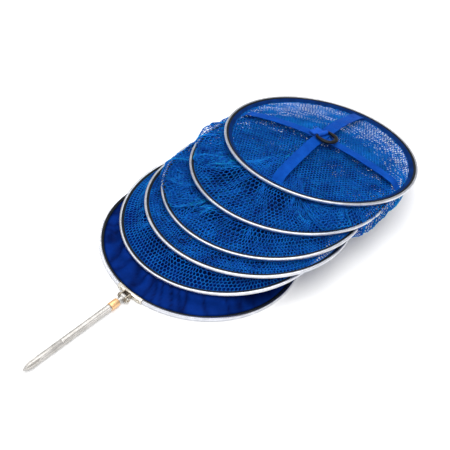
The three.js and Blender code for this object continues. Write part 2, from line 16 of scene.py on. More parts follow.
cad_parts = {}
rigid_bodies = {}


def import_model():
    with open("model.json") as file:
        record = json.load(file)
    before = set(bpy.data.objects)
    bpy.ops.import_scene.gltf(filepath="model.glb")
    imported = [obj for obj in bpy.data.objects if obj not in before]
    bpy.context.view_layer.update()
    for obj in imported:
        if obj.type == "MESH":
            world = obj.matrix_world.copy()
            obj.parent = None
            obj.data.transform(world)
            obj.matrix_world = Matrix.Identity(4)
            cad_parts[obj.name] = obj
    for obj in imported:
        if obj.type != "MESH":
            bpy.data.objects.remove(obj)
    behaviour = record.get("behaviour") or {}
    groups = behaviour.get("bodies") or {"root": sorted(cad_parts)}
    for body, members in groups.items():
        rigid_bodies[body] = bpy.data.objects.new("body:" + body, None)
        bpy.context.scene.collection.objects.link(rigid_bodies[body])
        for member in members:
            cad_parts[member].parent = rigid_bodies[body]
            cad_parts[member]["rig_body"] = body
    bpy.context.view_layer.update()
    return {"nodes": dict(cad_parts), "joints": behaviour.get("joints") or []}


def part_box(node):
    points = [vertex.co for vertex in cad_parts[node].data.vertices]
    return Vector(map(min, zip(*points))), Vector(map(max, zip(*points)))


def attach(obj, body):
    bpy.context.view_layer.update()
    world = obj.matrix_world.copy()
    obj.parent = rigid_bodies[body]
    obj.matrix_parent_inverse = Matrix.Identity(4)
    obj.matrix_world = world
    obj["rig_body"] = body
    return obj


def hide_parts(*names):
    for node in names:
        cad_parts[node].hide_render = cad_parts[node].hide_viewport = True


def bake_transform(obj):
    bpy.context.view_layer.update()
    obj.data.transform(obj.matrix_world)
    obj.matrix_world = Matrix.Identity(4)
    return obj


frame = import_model()
noise.seed_set(1)  # so that every run sets the knots uneven in the same way

MM = 0.001
TURN = 2 * math.pi

# ---------------------------------------------------------------- sizes, in millimetres

HOOP = {"radius": 200, "height": 6, "width": 4.2, "joint": 0.5}
MOUTH = {"radius": 190.4, "height": 7.5, "width": 4.5, "joint": 0.5}
LIP = 1  # height of each lip of a hoop's channel
BACK = 1.2  # wall of the channel behind the piping
CROWN = 1.1  # depth of the rounded outer face
LIP_ROUND = 0.25
PROUD = 4.6  # how far the piping stands out of its channel
BEAD = {"share": 0.61, "root": 0.35, "sunk": 0.45, "spare": 0.05}  # share: radius over depth
CLEARANCE = 0.3
HOOP_JOINTS = {"mouth": -82, "2": 160, "3": 20, "4": 130, "5": 70, "6": 37.5}  # bearings

NET_CELL = 6.6  # width of one six-sided mesh
NET_CORD = 2.1
NET_ROWS = 39  # rows of meshes between two hoops
NET_RADIUS = 193.2  # of the girth that the nets are cut to
SKIRT_RADIUS = 183.3
SKIRT_LENGTH = 300
SKIRT_THICKNESS = 0.5
END_NET = {"lap": 4, "cut": 5, "dome": 21, "slack": 7, "taut": 40, "wrinkle": 1.6, "drop": 3.2}

HEM = {"width": 10, "thickness": 0.8, "slope": 30, "top": 2, "sink": 0.4}
STRAP = {"widths": (20, 24), "thickness": 1.3, "rise": 27, "bearings": (7, 95.8), "aside": 15,
         "under": 0.4, "lap": 0.7, "tuck": 9, "tucked": (0.87, 0.97), "short": 1, "seam": 2.5,
         "slack": 0.8, "wander": 0.5, "round": 0.35}
RING = {"width": 44, "reach": 42, "section": 9.2, "height": 6, "bar": 5, "corner": 3.2,
        "nip": 0.9, "widening": 14, "bearing": -10}
TAB = {"width": 27, "length": 24, "webbing": 1.3, "play": 0.1, "round": 0.3}

WASHER = {"bore": 2.8, "radius": 5, "bevel": 0.2}
ROD = {"radius": 4.3, "start": 2, "length": 130, "neck": 0.8, "bevel": 0.4}
EYE = {"radius": 5.6, "bore": 2.8, "bevel": 0.5}
BUSH = {"radius": 4.75, "length": 8}
COLLAR = {"radius": 7.3, "start": 14.5, "length": 18.5, "bore": 6, "lip": 1.6}
COLLET = {"bore": 4.6, "start": 16.4, "end": 22.9, "radii": (5.5, 5.8)}
TUBE = {"radius": 6.3, "length": 109.5, "edge": 6.1, "spigot": 5.7, "overlap": 8, "bevel": 0.3}
GROOVE = {"width": 1.7, "depth": 0.7, "inset": 3, "run": 1.5}
POINT = {"shank": 49, "length": 31, "full": 0.55}
FLUTE = {"width": 3.4, "depth": 2.6}
NOTCH_SIDES = (0.32, 0.62)  # shares of a groove's or flute's width where its side starts and ends
BAR_SEGMENTS = 120

# ---------------------------------------------------------------- camera

camera_data = bpy.data.cameras.new("camera")
camera_data.lens = 71.83  # both in millimetres
camera_data.sensor_width = 36
camera = bpy.data.objects.new("camera", camera_data)
bpy.context.scene.collection.objects.link(camera)
camera.matrix_world = (
    Matrix.Translation((0.6897, -1.0146, 1.1896))
    @ Matrix.Rotation(math.radians(34.3), 4, "Z")  # round the object
    @ Matrix.Rotation(math.radians(90 - 43.471), 4, "X")  # down on it
    @ Matrix.Rotation(math.radians(9.296), 4, "Z")  # roll
)
bpy.context.scene.camera = camera

# ---------------------------------------------------------------- materials


def linear(red, green, blue):
    """A screen colour, 0 to 255, as Blender's linear one."""
    def one(value):
        value /= 255
        return value / 12.92 if value <= 0.04045 else ((value + 0.055) / 1.055) ** 2.4
    return (one(red), one(green), one(blue), 1)


WHITE = (1, 1, 1, 1)
PATCHY = (0.3, 0.7)  # the middle of a noise, where nearly all of its values lie


class Finish:
    """A node material: one shader, and the patterns that feed it."""

    def __init__(self, name, roughness, metallic=0.0, specular=0.5):
        self.material = bpy.data.materials.new(name)
        self.material.use_nodes = True
        self.nodes = self.material.node_tree.nodes
        self.links = self.material.node_tree.links
        self.shader = self.nodes["Principled BSDF"]
        self.set("Roughness", roughness)
        self.set("Metallic", metallic)
        self.set("Specular IOR Level", specular)

    def set(self, socket, value):
        self.shader.inputs[socket].default_value = value

    def place(self, stretch=(1, 1, 1), uv=False):
        """Coordinates in millimetres, stretched; from the piece's own map if uv is true."""
        source = self.nodes.new("ShaderNodeTexCoord")
        mapping = self.nodes.new("ShaderNodeMapping")
        scale = 1 if uv else 1 / MM
        mapping.inputs["Scale"].default_value = [scale * s for s in stretch]
        self.links.new(source.outputs["UV" if uv else "Object"], mapping.inputs["Vector"])
        return mapping.outputs["Vector"]

    def noise(self, size, detail=3, roughness=0.55, at=None):
        """Soft noise whose blotches are about size millimetres across."""
        node = self.nodes.new("ShaderNodeTexNoise")
        node.inputs["Scale"].default_value = 1 / size
        node.inputs["Detail"].default_value = detail
        node.inputs["Roughness"].default_value = roughness
        self.links.new(at or self.place(), node.inputs["Vector"])
        return node.outputs["Fac"]

    def wave(self, pitch, axis="X", at=None, distortion=0.0):
        """Ribs of a pitch in millimetres; the node's own bands lie TURN / 20 apart."""
        node = self.nodes.new("ShaderNodeTexWave")
        node.bands_direction = axis
        node.inputs["Scale"].default_value = TURN / 20 / pitch
        node.inputs["Distortion"].default_value = distortion
        self.links.new(at or self.place(), node.inputs["Vector"])
        return node.outputs["Fac"]

    def ramp(self, factor, span, dark, light):
        """Fades from dark to light as the factor goes from the span's low end to its high one."""
        node = self.nodes.new("ShaderNodeValToRGB")
        first, last = node.color_ramp.elements
        first.position, last.position = span
        first.color, last.color = dark, light
        self.links.new(factor, node.inputs["Fac"])
        return node.outputs["Color"]

    def grey(self, factor, low, high):
        """Stretches a factor's middle to run from low to high."""
        node = self.nodes.new("ShaderNodeMapRange")
        node.inputs["From Min"].default_value = PATCHY[0]
        node.inputs["From Max"].default_value = PATCHY[1]
        node.inputs["To Min"].default_value = low
        node.inputs["To Max"].default_value = high
        self.links.new(factor, node.inputs["Value"])
        return node.outputs["Result"]

    def math(self, operation, first, second):
        node = self.nodes.new("ShaderNodeMath")
        node.operation = operation
        for socket, value in zip(node.inputs, (first, second)):
            if isinstance(value, (int, float)):
                socket.default_value = value
            else:
                self.links.new(value, socket)
        return node.outputs["Value"]

    def multiply(self, colour, other):
        node = self.nodes.new("ShaderNodeMix")
        node.data_type = "RGBA"
        node.blend_type = "MULTIPLY"
        node.inputs["Factor"].default_value = 1
        self.links.new(colour, node.inputs[6])
        self.links.new(other, node.inputs[7])
        return node.outputs[2]

    def attribute(self, name):
        node = self.nodes.new("ShaderNodeAttribute")
        node.attribute_name = name
        return node.outputs["Fac"]

    def feed(self, socket, output):
        self.links.new(output, self.shader.inputs[socket])

    def bump(self, height, distance, strength=1.0):
        """Raises the surface by up to distance millimetres."""
        node = self.nodes.new("ShaderNodeBump")
        node.inputs["Distance"].default_value = distance * MM
        node.inputs["Strength"].default_value = strength
        self.links.new(height, node.inputs["Height"])
        before = self.shader.inputs["Normal"].links
        if before:
            self.links.new(before[0].from_socket, node.inputs["Normal"])
        self.links.new(node.outputs["Normal"], self.shader.inputs["Normal"])


def worn_metal(name, dark, light, roughness, grain, scratch=0.03):
    """Metal with a fine grain, soft stains and a little wear."""
    made = Finish(name, roughness, metallic=1.0)
    stains = made.noise(14, detail=5)
    fine = made.noise(grain, detail=2)
    made.feed("Base Color", made.ramp(stains, (0.32, 0.68), linear(*dark), linear(*light)))
    made.feed("Roughness", made.grey(fine, roughness - 0.06, roughness + 0.08))
    made.bump(fine, scratch)
    return made.material


def net_cord():
    """Knotless nylon, with painted shade where the slack of a section stays folded away under other
    layers.
    """
    made = Finish("net_cord", 0.65, specular=0.08)
    patches = made.noise(38)
    # painted shade: the base colour darkens where the folded attribute marks cords lying under
    # other layers
    made.feed("Base Color", made.multiply(
        made.ramp(patches, PATCHY, linear(2, 60, 140), linear(7, 98, 189)),
        made.ramp(made.attribute("folded"), (0.1, 0.9), WHITE, (0.12, 0.16, 0.24, 1)),
    ))
    made.bump(made.noise(0.5, detail=1), 0.12)
    made.set("Subsurface Weight", 0.8)
    made.set("Subsurface Scale", 3 * MM)
    made.set("Subsurface Radius", (0.3, 1, 1.2))
    return made.material


def mouth_cloth():
    """Coated nylon: a fine plain weave and soft creases, with painted shade where it stays folded
    away and along its creases.
    """
    made = Finish("mouth_cloth", 0.6, specular=0.02)
    shade = made.noise(30, detail=4)
    # painted shade: the base colour darkens where the folded attribute marks cloth under other
    # layers or in a crease
    made.feed("Base Color", made.multiply(
        made.ramp(shade, PATCHY, linear(1, 31, 97), linear(3, 42, 123)),
        made.ramp(made.attribute("folded"), (0.15, 1.0), WHITE, (0.3, 0.32, 0.4, 1)),
    ))
    warp = made.wave(0.8, "X", made.place(uv=True))
    weft = made.wave(0.8, "Y", made.place(uv=True))
    weave = made.math("MULTIPLY", warp, weft)
    made.feed("Roughness", made.grey(made.noise(9, detail=4), 0.45, 0.65))
    made.bump(weave, 0.08)
    made.bump(made.noise(11, detail=5, roughness=0.5), 1.4)
    return made.material


def webbing(name, dark, light):
    """Woven strap: ribs across it, finer threads along it, with painted shade between the ribs."""
    made = Finish(name, 0.65, specular=0.04)
    along, across = made.place(uv=True), made.place(uv=True)
    ribs = made.wave(1.5, "X", along, distortion=0.4)
    threads = made.wave(1.0, "Y", across)
    # painted shade: the colour darkens in the valleys between the ribs
    shade = made.multiply(
        made.ramp(made.noise(22, detail=4), PATCHY, linear(*dark), linear(*light)),
        made.ramp(ribs, (0.0, 0.6), (0.78, 0.78, 0.8, 1), WHITE),
    )
    made.feed("Base Color", shade)
    made.bump(made.math("ADD", ribs, made.math("MULTIPLY", threads, 0.5)), 0.16)
    return made.material


def moulded(name, dark, light, roughness, grain=0.8):
    """Moulded plastic or rubber with a fine texture."""
    made = Finish(name, roughness, specular=0.2)
    shade = made.noise(6, detail=4)
    made.feed("Base Color", made.ramp(shade, PATCHY, linear(*dark), linear(*light)))
    fine = made.noise(grain, detail=2)
    made.feed("Roughness", made.grey(fine, roughness - 0.08, roughness + 0.1))
    made.bump(fine, 0.05)
    return made.material


ALLOY = worn_metal("hoop_alloy", (198, 200, 208), (224, 226, 232), 0.3, 0.5)
STEEL = worn_metal("bracket_steel", (196, 190, 178), (226, 221, 210), 0.3, 0.6)
STAKE = worn_metal("stake_metal", (182, 179, 174), (210, 207, 203), 0.52, 1.2, 0.006)
# painted shade: a darker copy of the bracket steel, for the clevis and the bolt
SHADED_STEEL = worn_metal("shaded_bracket_steel", (120, 108, 94), (186, 176, 160), 0.4, 0.8)
BRASS = worn_metal("brass", (226, 176, 122), (242, 202, 154), 0.48, 0.5, 0.01)
PIPING = moulded("piping_rubber", (2, 8, 14), (5, 14, 22), 0.5)
RING_PLASTIC = moulded("ring_plastic", (3, 4, 8), (8, 10, 16), 0.4)
NYLON = moulded("nylon", (226, 222, 210), (238, 235, 226), 0.5)
CORD = net_cord()
SKIRT_CLOTH = mouth_cloth()
HEM_CLOTH = webbing("hem_cloth", (1, 34, 86), (3, 48, 114))
STRAP_WEBBING = webbing("strap_webbing", (2, 62, 152), (8, 80, 178))
TAB_WEBBING = webbing("tab_webbing", (16, 74, 178), (30, 94, 200))

# ---------------------------------------------------------------- pieces


def millimetres(place=Matrix.Identity(4)):
    """The matrix from a piece's own millimetres to the frame's metres."""
    return Matrix.Scale(MM, 4) @ place


def piece(bm, name, material, body, replaced=(), place=Matrix.Identity(4),
          smooth=35):
    """Makes the bmesh an object in the frame, with its finish, body and the nodes it stands for."""
    bmesh.ops.transform(bm, matrix=millimetres(place), verts=bm.verts)
    mesh = bpy.data.meshes.new(name)
    bm.to_mesh(mesh)
    bm.free()
    return dressed(mesh, name, material, body, replaced, smooth)


def dressed(mesh, name, material, body, replaced=(), smooth=35):
    """Makes the mesh an object, as piece does; edges sharper than smooth degrees stay sharp."""
    obj = bpy.data.objects.new(name, mesh)
    bpy.context.scene.collection.objects.link(obj)
    mesh.materials.clear()
    mesh.materials.append(material)
    mesh.shade_smooth()
    if smooth < 180:
        mesh.set_sharp_from_angle(angle=math.radians(smooth))
    if body:
        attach(obj, body)
    if replaced:
        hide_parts(*replaced)
    return obj


def outwards(bm, merge=0.001):
    bmesh.ops.remove_doubles(bm, verts=bm.verts, dist=merge)
    bmesh.ops.recalc_face_normals(bm, faces=bm.faces)
    return bm


def polygon(points):
    """A bmesh with one face through the points."""
    bm = bmesh.new()
    bm.faces.new([bm.verts.new(p) for p in points])
    return bm


def turned(outline, steps=64):
    """[radius, height] points turned round +Z; the outline ends on the axis or closes."""
    bm = bmesh.new()
    verts = [bm.verts.new((r, 0, z)) for r, z in outline]
    edges = [bm.edges.new(pair) for pair in zip(verts, verts[1:])]
    if outline[0][0] > 0 or outline[-1][0] > 0:
        edges.append(bm.edges.new((verts[-1], verts[0])))
    bmesh.ops.spin(
        bm, geom=verts + edges, cent=(0, 0, 0), axis=(0, 0, 1), angle=TURN, steps=steps,
        use_merge=True,
    )
    return outwards(bm)


def swept(profile, bearing, gap, radius, steps=288):
    """A closed [radius, height] profile swept round +Z, with a slit of gap at a bearing."""
    slit = gap / radius
    bm = polygon([(r, 0, z) for r, z in profile])
    start = Matrix.Rotation(math.radians(bearing) + slit / 2, 4, "Z")
    bmesh.ops.transform(bm, matrix=start, verts=bm.verts)
    bmesh.ops.spin(
        bm, geom=bm.faces[:], cent=(0, 0, 0), axis=(0, 0, 1), angle=TURN - slit, steps=steps,
    )
    return outwards(bm, 0.0001)


def sections(stations, segments, radius_at):
    """Closed rings across +Z, one for each station, bridged and capped."""
    bm = bmesh.new()
    loops = []
    for station in stations:
        ring = bmesh.ops.create_circle(bm, cap_ends=False, radius=1, segments=segments)["verts"]
        for vert in ring:
            angle = math.atan2(vert.co.y, vert.co.x)
            vert.co = vert.co.normalized() * radius_at(angle, station)
            vert.co.z = station[0]
        loops.append([e for e in {e for v in ring for e in v.link_edges}])
    for lower, upper in zip(loops, loops[1:]):
        bmesh.ops.bridge_loops(bm, edges=lower + upper)
    for rim in (loops[0], loops[-1]):
        bmesh.ops.contextual_create(bm, geom=rim)
    return outwards(bm)


def thickened(obj, thickness, rounding=0):
    """Gives a sheet its thickness, half to each side, and rounds its edges."""
    thick = obj.modifiers.new("thickness", "SOLIDIFY")
    thick.thickness = thickness * MM
    thick.offset = 0
    if rounding:
        soft = obj.modifiers.new("edges", "BEVEL")
        soft.width = rounding * MM
        soft.segments = 2


def refined(node, name, material, body, bevel):
    """A rigid CAD node's own shape with its edges rounded."""
    bm = bmesh.new()
    bm.from_mesh(frame["nodes"][node].data)
    bmesh.ops.transform(bm, matrix=Matrix.Scale(1 / MM, 4), verts=bm.verts)
    bmesh.ops.remove_doubles(bm, verts=bm.verts, dist=0.002)
    bmesh.ops.dissolve_limit(
        bm, angle_limit=math.radians(1), verts=bm.verts, edges=bm.edges,
    )
    sharp = [e for e in bm.edges if e.is_manifold and e.calc_face_angle(0) > math.radians(40)]
    bmesh.ops.bevel(
        bm, geom=sharp, offset=bevel, segments=2, profile=0.5, affect="EDGES", material=-1,
        clamp_overlap=True,
    )
    return piece(bm, name, material, body, [node])


# ---------------------------------------------------------------- where the hoops lie


def hoop_place(node):
    """The matrix of a hoop, from its piping's solid: its middle, and its plane's normal as Z."""
    low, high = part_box(node)
    points = np.array([v.co for v in frame["nodes"][node].data.vertices])
    middle = (low + high) / 2
    normal = Vector(np.linalg.svd(points - np.array(middle), full_matrices=False)[2][2])
    normal *= math.copysign(1, normal.z)
    across = (Vector((1, 0, 0)) - normal.x * normal).normalized()
    side = normal.cross(across)
    axes = Matrix((across, side, normal)).transposed().to_4x4()
    return Matrix.Translation(middle / MM) @ axes


HOOP_NAMES = ["mouth", "2", "3", "4", "5", "6"]
BODIES = ["mouth_frame", *("hoop_frame_" + number for number in HOOP_NAMES[1:-1]), "end_frame"]
hoops = []
for hoop_name, body in zip(HOOP_NAMES, BODIES):
    is_mouth = hoop_name == "mouth"
    hoop_node = "mouth_hoop" if is_mouth else "hoop_" + hoop_name
    spline_node = "mouth_spline" if is_mouth else "spline_" + hoop_name
    hoops.append({
        "name": hoop_name, "body": body, "hoop": hoop_node, "spline": spline_node,
        "size": MOUTH if is_mouth else HOOP, "place": hoop_place(spline_node),
    })


def hoop_profile(size):
    """A rolled channel, open inwards, with a crowned outer face."""
    radius, top, inner = size["radius"], size["height"] / 2, size["radius"] - size["width"]
    crown = []
    for i in range(9):
        angle = math.radians(-80 + 20 * i)
        crown.append((radius - CROWN + CROWN * math.cos(angle), top * math.sin(angle)))
    return [
        (inner + LIP_ROUND, -top), *crown, (inner + LIP_ROUND, top),
        (inner, top - LIP_ROUND), (inner, top - LIP), (radius - BACK, top - LIP),
        (radius - BACK, LIP - top), (inner, LIP - top), (inner, LIP_ROUND - top),
    ]


def piping_profile(size):
    """Rubber piping: a tongue in the channel and a round bead on its inner side."""
    top = size["height"] / 2 - LIP - CLEARANCE
    inner, back = size["radius"] - size["width"], size["radius"] - BACK - CLEARANCE
    neck = inner - 0.1
    bead = min(size["height"] / 2 - BEAD["spare"], BEAD["share"] * (PROUD + BEAD["root"]))
    middle = inner - PROUD + bead - BEAD["sunk"]
    points = [(back, -top), (back, top), (neck, top)]
    for i in range(11):
        angle = math.radians(50 + 26 * i)
        points.append((middle + bead * math.cos(angle), bead * math.sin(angle)))
    return points + [(neck, -top)]


for hoop in hoops:
    size, joint = hoop["size"], HOOP_JOINTS[hoop["name"]]
    band = swept(hoop_profile(size), joint, size["joint"], size["radius"])
    piece(band, hoop["hoop"] + "_band", ALLOY, hoop["body"], [hoop["hoop"]],
          hoop["place"], 50)
    rubber = swept(piping_profile(size), joint + 3, CLEARANCE, size["radius"])
    piece(rubber, hoop["hoop"] + "_piping", PIPING, hoop["body"], [hoop["spline"]],
          hoop["place"], 50)

# ---------------------------------------------------------------- net and cloth between the hoops

STATIONS = 44  # points of a wall's line before it is resampled
AWAY = 3  # room between slack fabric and a hoop's band
BAND = 10  # how far fabric stays level beyond a rim that it goes over
LEAN = (8, 34)  # offsets of two rims between which a wall goes from its middle shape to another
DEEPER = 0.35  # how much the depth of a fold varies round a wall
STRETCH = 1.1  # how much wider apart rows lie at the far side
SIDEWAYS = 22  # how far slack fabric is pulled sideways
FLOOR_GAP = 1.2  # the lowest that the middle of a fabric lies
LUMPS = {"fold": 2.6, "rough": 5, "groove": 8, "pucker": 14}  # more makes smaller lumps round it
HELD = (3, 18)  # distances from a rim between which fabric goes from held to loose
UNEVEN = 0.8  # how far each knot sits off its even place


def smooth_step(value, low, high):
    share = min(1.0, max(0.0, (value - low) / (high - low)))
    return share * share * (3 - 2 * share)


def spot_at(bearing, lumps, height):
    """A place in a noise for a bearing, so that the noise meets itself after one turn."""
    return Vector((lumps * math.cos(bearing), lumps * math.sin(bearing), height))


def rim_point(hoop, radius, axis, bearing):
    """(reach, height) of a hoop's rim above a bearing from the axis."""
    angle = bearing
    for _ in range(6):
        point = hoop["place"] @ Vector((radius * math.cos(angle), radius * math.sin(angle), 0))
        found = math.atan2(point.y - axis.y, point.x - axis.x)
        error = bearing - found
        angle += math.atan2(math.sin(error), math.cos(error))
    return math.hypot(point.x - axis.x, point.y - axis.y), point.z


def resampled(points, count, skew=1):
    """A smooth line through the points, with count points evenly spaced, or wider apart towards
    its end where skew is over 1."""
    points = np.array(points, float)
    ends = np.vstack([2 * points[0] - points[1], points, 2 * points[-1] - points[-2]])
    fine = []
    for i in range(1, len(ends) - 2):
        a, b, c, d = ends[i - 1:i + 3]
        for t in np.arange(0, 1, 0.1):
            fine.append(0.5 * (2 * b + (c - a) * t + (2 * a - 5 * b + 4 * c - d) * t * t
                               + (3 * b - a - 3 * c + d) * t ** 3))
    fine = np.array(fine + [points[-1]])
    run = np.concatenate([[0], np.cumsum(np.linalg.norm(np.diff(fine, axis=0), axis=1))])
    even = run[-1] * np.linspace(0, 1, count) ** skew
    return np.stack([np.interp(even, run, fine[:, 0]), np.interp(even, run, fine[:, 1])], axis=1)


def wall_line(lower, upper, axis, bearing, fold, lobes):
    """(reach, height) line of slack fabric from the lower hoop's piping to the upper one's.

    Where the upper hoop lies further in, the slack is tucked under it; where it lies further out,
    inside the lower hoop; in between, it folds inwards from both. Each of the lobes, as (bearing,
    spread, bulge, height), bulges out past the hoops instead.
    """
    reach_a = lower["size"]["radius"] - lower["size"]["width"] - PROUD
    reach_b = upper["size"]["radius"] - upper["size"]["width"] - PROUD
    (a, za), (b, zb) = (rim_point(lower, reach_a, axis, bearing),
                        rim_point(upper, reach_b, axis, bearing))
    out = b - a
    over_a = za + lower["size"]["height"] / 2 + AWAY
    under_b = zb - upper["size"]["height"] / 2 - AWAY
    inner, outer = min(a, b), max(a, b)
    sag = 2 + 0.05 * abs(out)
    near = [
        (a, za), (a - 3, za + 2), ((a + b) / 2, za + 0.6 * (under_b - za) - sag),
        (b + 5, under_b), (b - fold * 0.5, under_b - 2), (b - fold, under_b - 3),
        (b - fold * 0.5, zb - 3), (b - 3, zb - 2), (b, zb),
    ]
    middle = [
        (a, za), (a - 3, za + 1), (inner - fold * 0.4, za + 0.15 * (zb - za)),
        (inner - fold * 0.75, za + 0.3 * (zb - za)), (inner - fold, (za + zb) / 2),
        (inner - fold * 0.75, zb - 0.3 * (zb - za)), (inner - fold * 0.4, zb - 0.2 * (zb - za)),
        (b - 3, zb - 1), (b, zb),
    ]
    far = [
        (a, za), (a - 3, za + 2), (a - fold * 0.5, za + 3), (a - fold, over_a + 3),
        (a - fold * 0.5, over_a + 1), (a + BAND, over_a),
        ((a + b) / 2 + BAND / 2, (za + zb) / 2 - sag), (b - 3, zb - 3), (b, zb),
    ]
    line = sum(
        weight * resampled(shape, STATIONS)
        for weight, shape in zip(side_weights(out), (near, middle, far))
    )
    for centre, spread, bulge, height in lobes:
        turn = math.degrees(bearing) - centre
        turn = abs((turn + 180) % 360 - 180)
        weight = 1 - smooth_step(turn, spread, 1.5 * spread)
        if weight <= 0:
            continue
        beyond = outer + (bulge + BAND) * max(0, 1 - (turn / spread) ** 2) - BAND
        outside = [
            (a, za), (a - 3, za + 2), (a - fold * 0.4, za + 3), (a - fold * 0.8, over_a + 2),
            (a - fold * 0.4, over_a + 1), (a, over_a + 1), (max(a, beyond - 4), over_a - 2),
            (beyond, (over_a + height) / 2), (beyond - 3, height),
            (min(b, beyond) - 6, under_b - 3), (b - 4, zb - 3), (b, zb),
        ]
        line = (1 - weight) * line + weight * resampled(outside, STATIONS)
    line[:, 1] = np.maximum(line[:, 1], FLOOR_GAP + 0.3)
    return line


def side_weights(out):
    """How much of the near, the middle and the far shape a wall takes."""
    near, far = smooth_step(-out, *LEAN), smooth_step(out, *LEAN)
    return near, 1 - near - far, far


def hidden(line):
    """1 for each point of a line inside the hoops and under another part of it, else 0."""
    reach, height = line[:, 0], line[:, 1]
    inside = reach < min(reach[0], reach[-1]) - 4
    beside = np.abs(reach[:, None] - reach[None, :]) < 4
    over = height[None, :] > height[:, None] + 0.8
    return (inside & (beside & over).any(axis=1)).astype(float)


def wall_surface(lower, upper, columns, levels, fold, lobes, crumple, seed, crease=0):
    """Points of a wall, columns round it and levels up it, in millimetres, and how much of each
    is folded away under the rest or lies in a crease, which the materials darken as painted shade."""
    middle_a, middle_b = lower["place"].translation, upper["place"].translation
    axis = (middle_a + middle_b) / 2
    points = np.zeros((columns, levels, 3))
    folded = np.zeros((columns, levels))
    rims = np.zeros((columns, 2))
    for i in range(columns):
        bearing = TURN * i / columns
        here = spot_at(bearing, LUMPS["fold"], seed)
        depth = fold * (1 + DEEPER * noise.noise(here))
        line = wall_line(lower, upper, axis, bearing, depth, lobes)
        far = side_weights(line[-1, 0] - line[0, 0])[2]
        line = resampled(line, levels, 1 + STRETCH * far)
        rims[i] = line[0, 0], line[-1, 0]
        # how much of the line lies under other parts of it; the materials darken this as painted
        # shade
        folded[i] = np.convolve(hidden(line), np.ones(5) / 5, "same")
        for j in range(levels):
            share = j / (levels - 1)
            drift = SIDEWAYS * noise.noise(2.2 * here + Vector((0, 0, 5 * share)))
            turn = bearing + drift * min(1, 5 * share, 5 * (1 - share)) / line[j, 0]
            points[i, j] = (axis.x + line[j, 0] * math.cos(turn),
                            axis.y + line[j, 0] * math.sin(turn), line[j, 1])
    along = np.gradient(points, axis=1)
    around = np.roll(points, -1, axis=0) - np.roll(points, 1, axis=0)
    normals = np.cross(around, along)
    normals /= np.maximum(np.linalg.norm(normals, axis=2, keepdims=True), 1e-6)
    for i in range(columns):
        bearing = TURN * i / columns
        for j in range(levels):
            share = j / (levels - 1)
            reach = math.hypot(points[i, j, 0] - axis.x, points[i, j, 1] - axis.y)
            hold = min(1, 6 * share, 6 * (1 - share)) * smooth_step(
                min(abs(reach - rims[i, 0]), abs(reach - rims[i, 1])), *HELD
            )
            place = spot_at(bearing, LUMPS["rough"], 3.2 * share + seed)
            rough = noise.fractal(place * 1.5, 0.9, 2.1, 3) * crumple
            rough += crumple * 0.8 * (1 - 2 * abs(noise.noise(place * 0.8)))
            spot = spot_at(bearing + 0.5 * share, LUMPS["groove"], 2.4 * share + seed)
            groove = (1 - abs(noise.noise(spot))) ** 6 * (1 - folded[i, j])
            points[i, j] += normals[i, j] * (rough - crease * groove) * hold
            # a crease's groove is also darkened in the material: painted shade
            if crease:
                folded[i, j] = max(folded[i, j], groove)
            points[i, j] += UNEVEN * np.array(noise.noise_vector(Vector(points[i, j]) / 3)) * hold
    points[:, :, 2] = np.maximum(points[:, :, 2], FLOOR_GAP)
    return points, folded


def share_weights(obj):
    """Frees the fabric from any body and bakes its transform into its mesh."""
    obj.parent = None
    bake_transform(obj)


def net_mesh(name, faces_of, points, cord):
    """Six-sided meshes turned into cords, as one closed skin of welded strands."""
    mesh = bpy.data.meshes.new(name)
    mesh.from_pydata([tuple(p) for p in points * MM], [], faces_of)
    obj = bpy.data.objects.new(name, mesh)
    bpy.context.scene.collection.objects.link(obj)
    wire = obj.modifiers.new("cords", "WIREFRAME")
    wire.thickness = cord * MM
    wire.use_even_offset = False
    wire.use_replace = True
    wire.use_boundary = True
    solid = bpy.data.meshes.new_from_object(
        obj.evaluated_get(bpy.context.evaluated_depsgraph_get())
    )
    bpy.data.objects.remove(obj)
    bpy.data.meshes.remove(mesh)
    solid.name = name
    return solid


def nearest_values(mesh, points, *values):
    """For each vertex of the mesh, the values of the nearest of the points."""
    tree = KDTree(len(points))
    for i, point in enumerate(points * MM):
        tree.insert(point, i)
    tree.balance()
    nearest = [tree.find(v.co)[1] for v in mesh.vertices]
    return [np.array(each)[nearest] for each in values]


def net_wall(index, lower, upper, fold, lobes, crumple):
    """A section of knotless net between two hoops."""
    girth = TURN * NET_RADIUS
    cells = round(girth / NET_CELL)
    levels = 3 * NET_ROWS + 2  # a row's meshes take five, and share two with the next row
    surface, folded = wall_surface(
        lower, upper, 2 * cells, levels, fold, lobes, crumple, 7.3 * index
    )
    used, points, shares, knot_shades, faces = {}, [], [], [], []

    def knot(half, level):
        key = (half % (2 * cells), level)
        if key not in used:
            used[key] = len(points)
            points.append(surface[key])
            shares.append(level / (levels - 1))
            knot_shades.append(folded[key])
        return used[key]

    for row in range(NET_ROWS):
        base = 3 * row
        for cell in range(cells):
            half = 2 * cell + row % 2
            faces.append([
                knot(half, base), knot(half + 1, base + 1), knot(half + 1, base + 3),
                knot(half, base + 4), knot(half - 1, base + 3), knot(half - 1, base + 1),
            ])
    points = np.array(points)
    mesh = net_mesh("net_section_" + str(index), faces, points, NET_CORD)
    # the folded attribute carries painted shade: how far each knot lies under other layers
    weights, painted_shade = nearest_values(mesh, points, shares, knot_shades)
    shade_attribute = mesh.attributes.new("folded", "FLOAT", "POINT")
    shade_attribute.data.foreach_set("value", painted_shade.astype(np.float32))
    obj = dressed(mesh, mesh.name, CORD, None, ["net_wall_" + str(index)], 180)
    share_weights(obj)


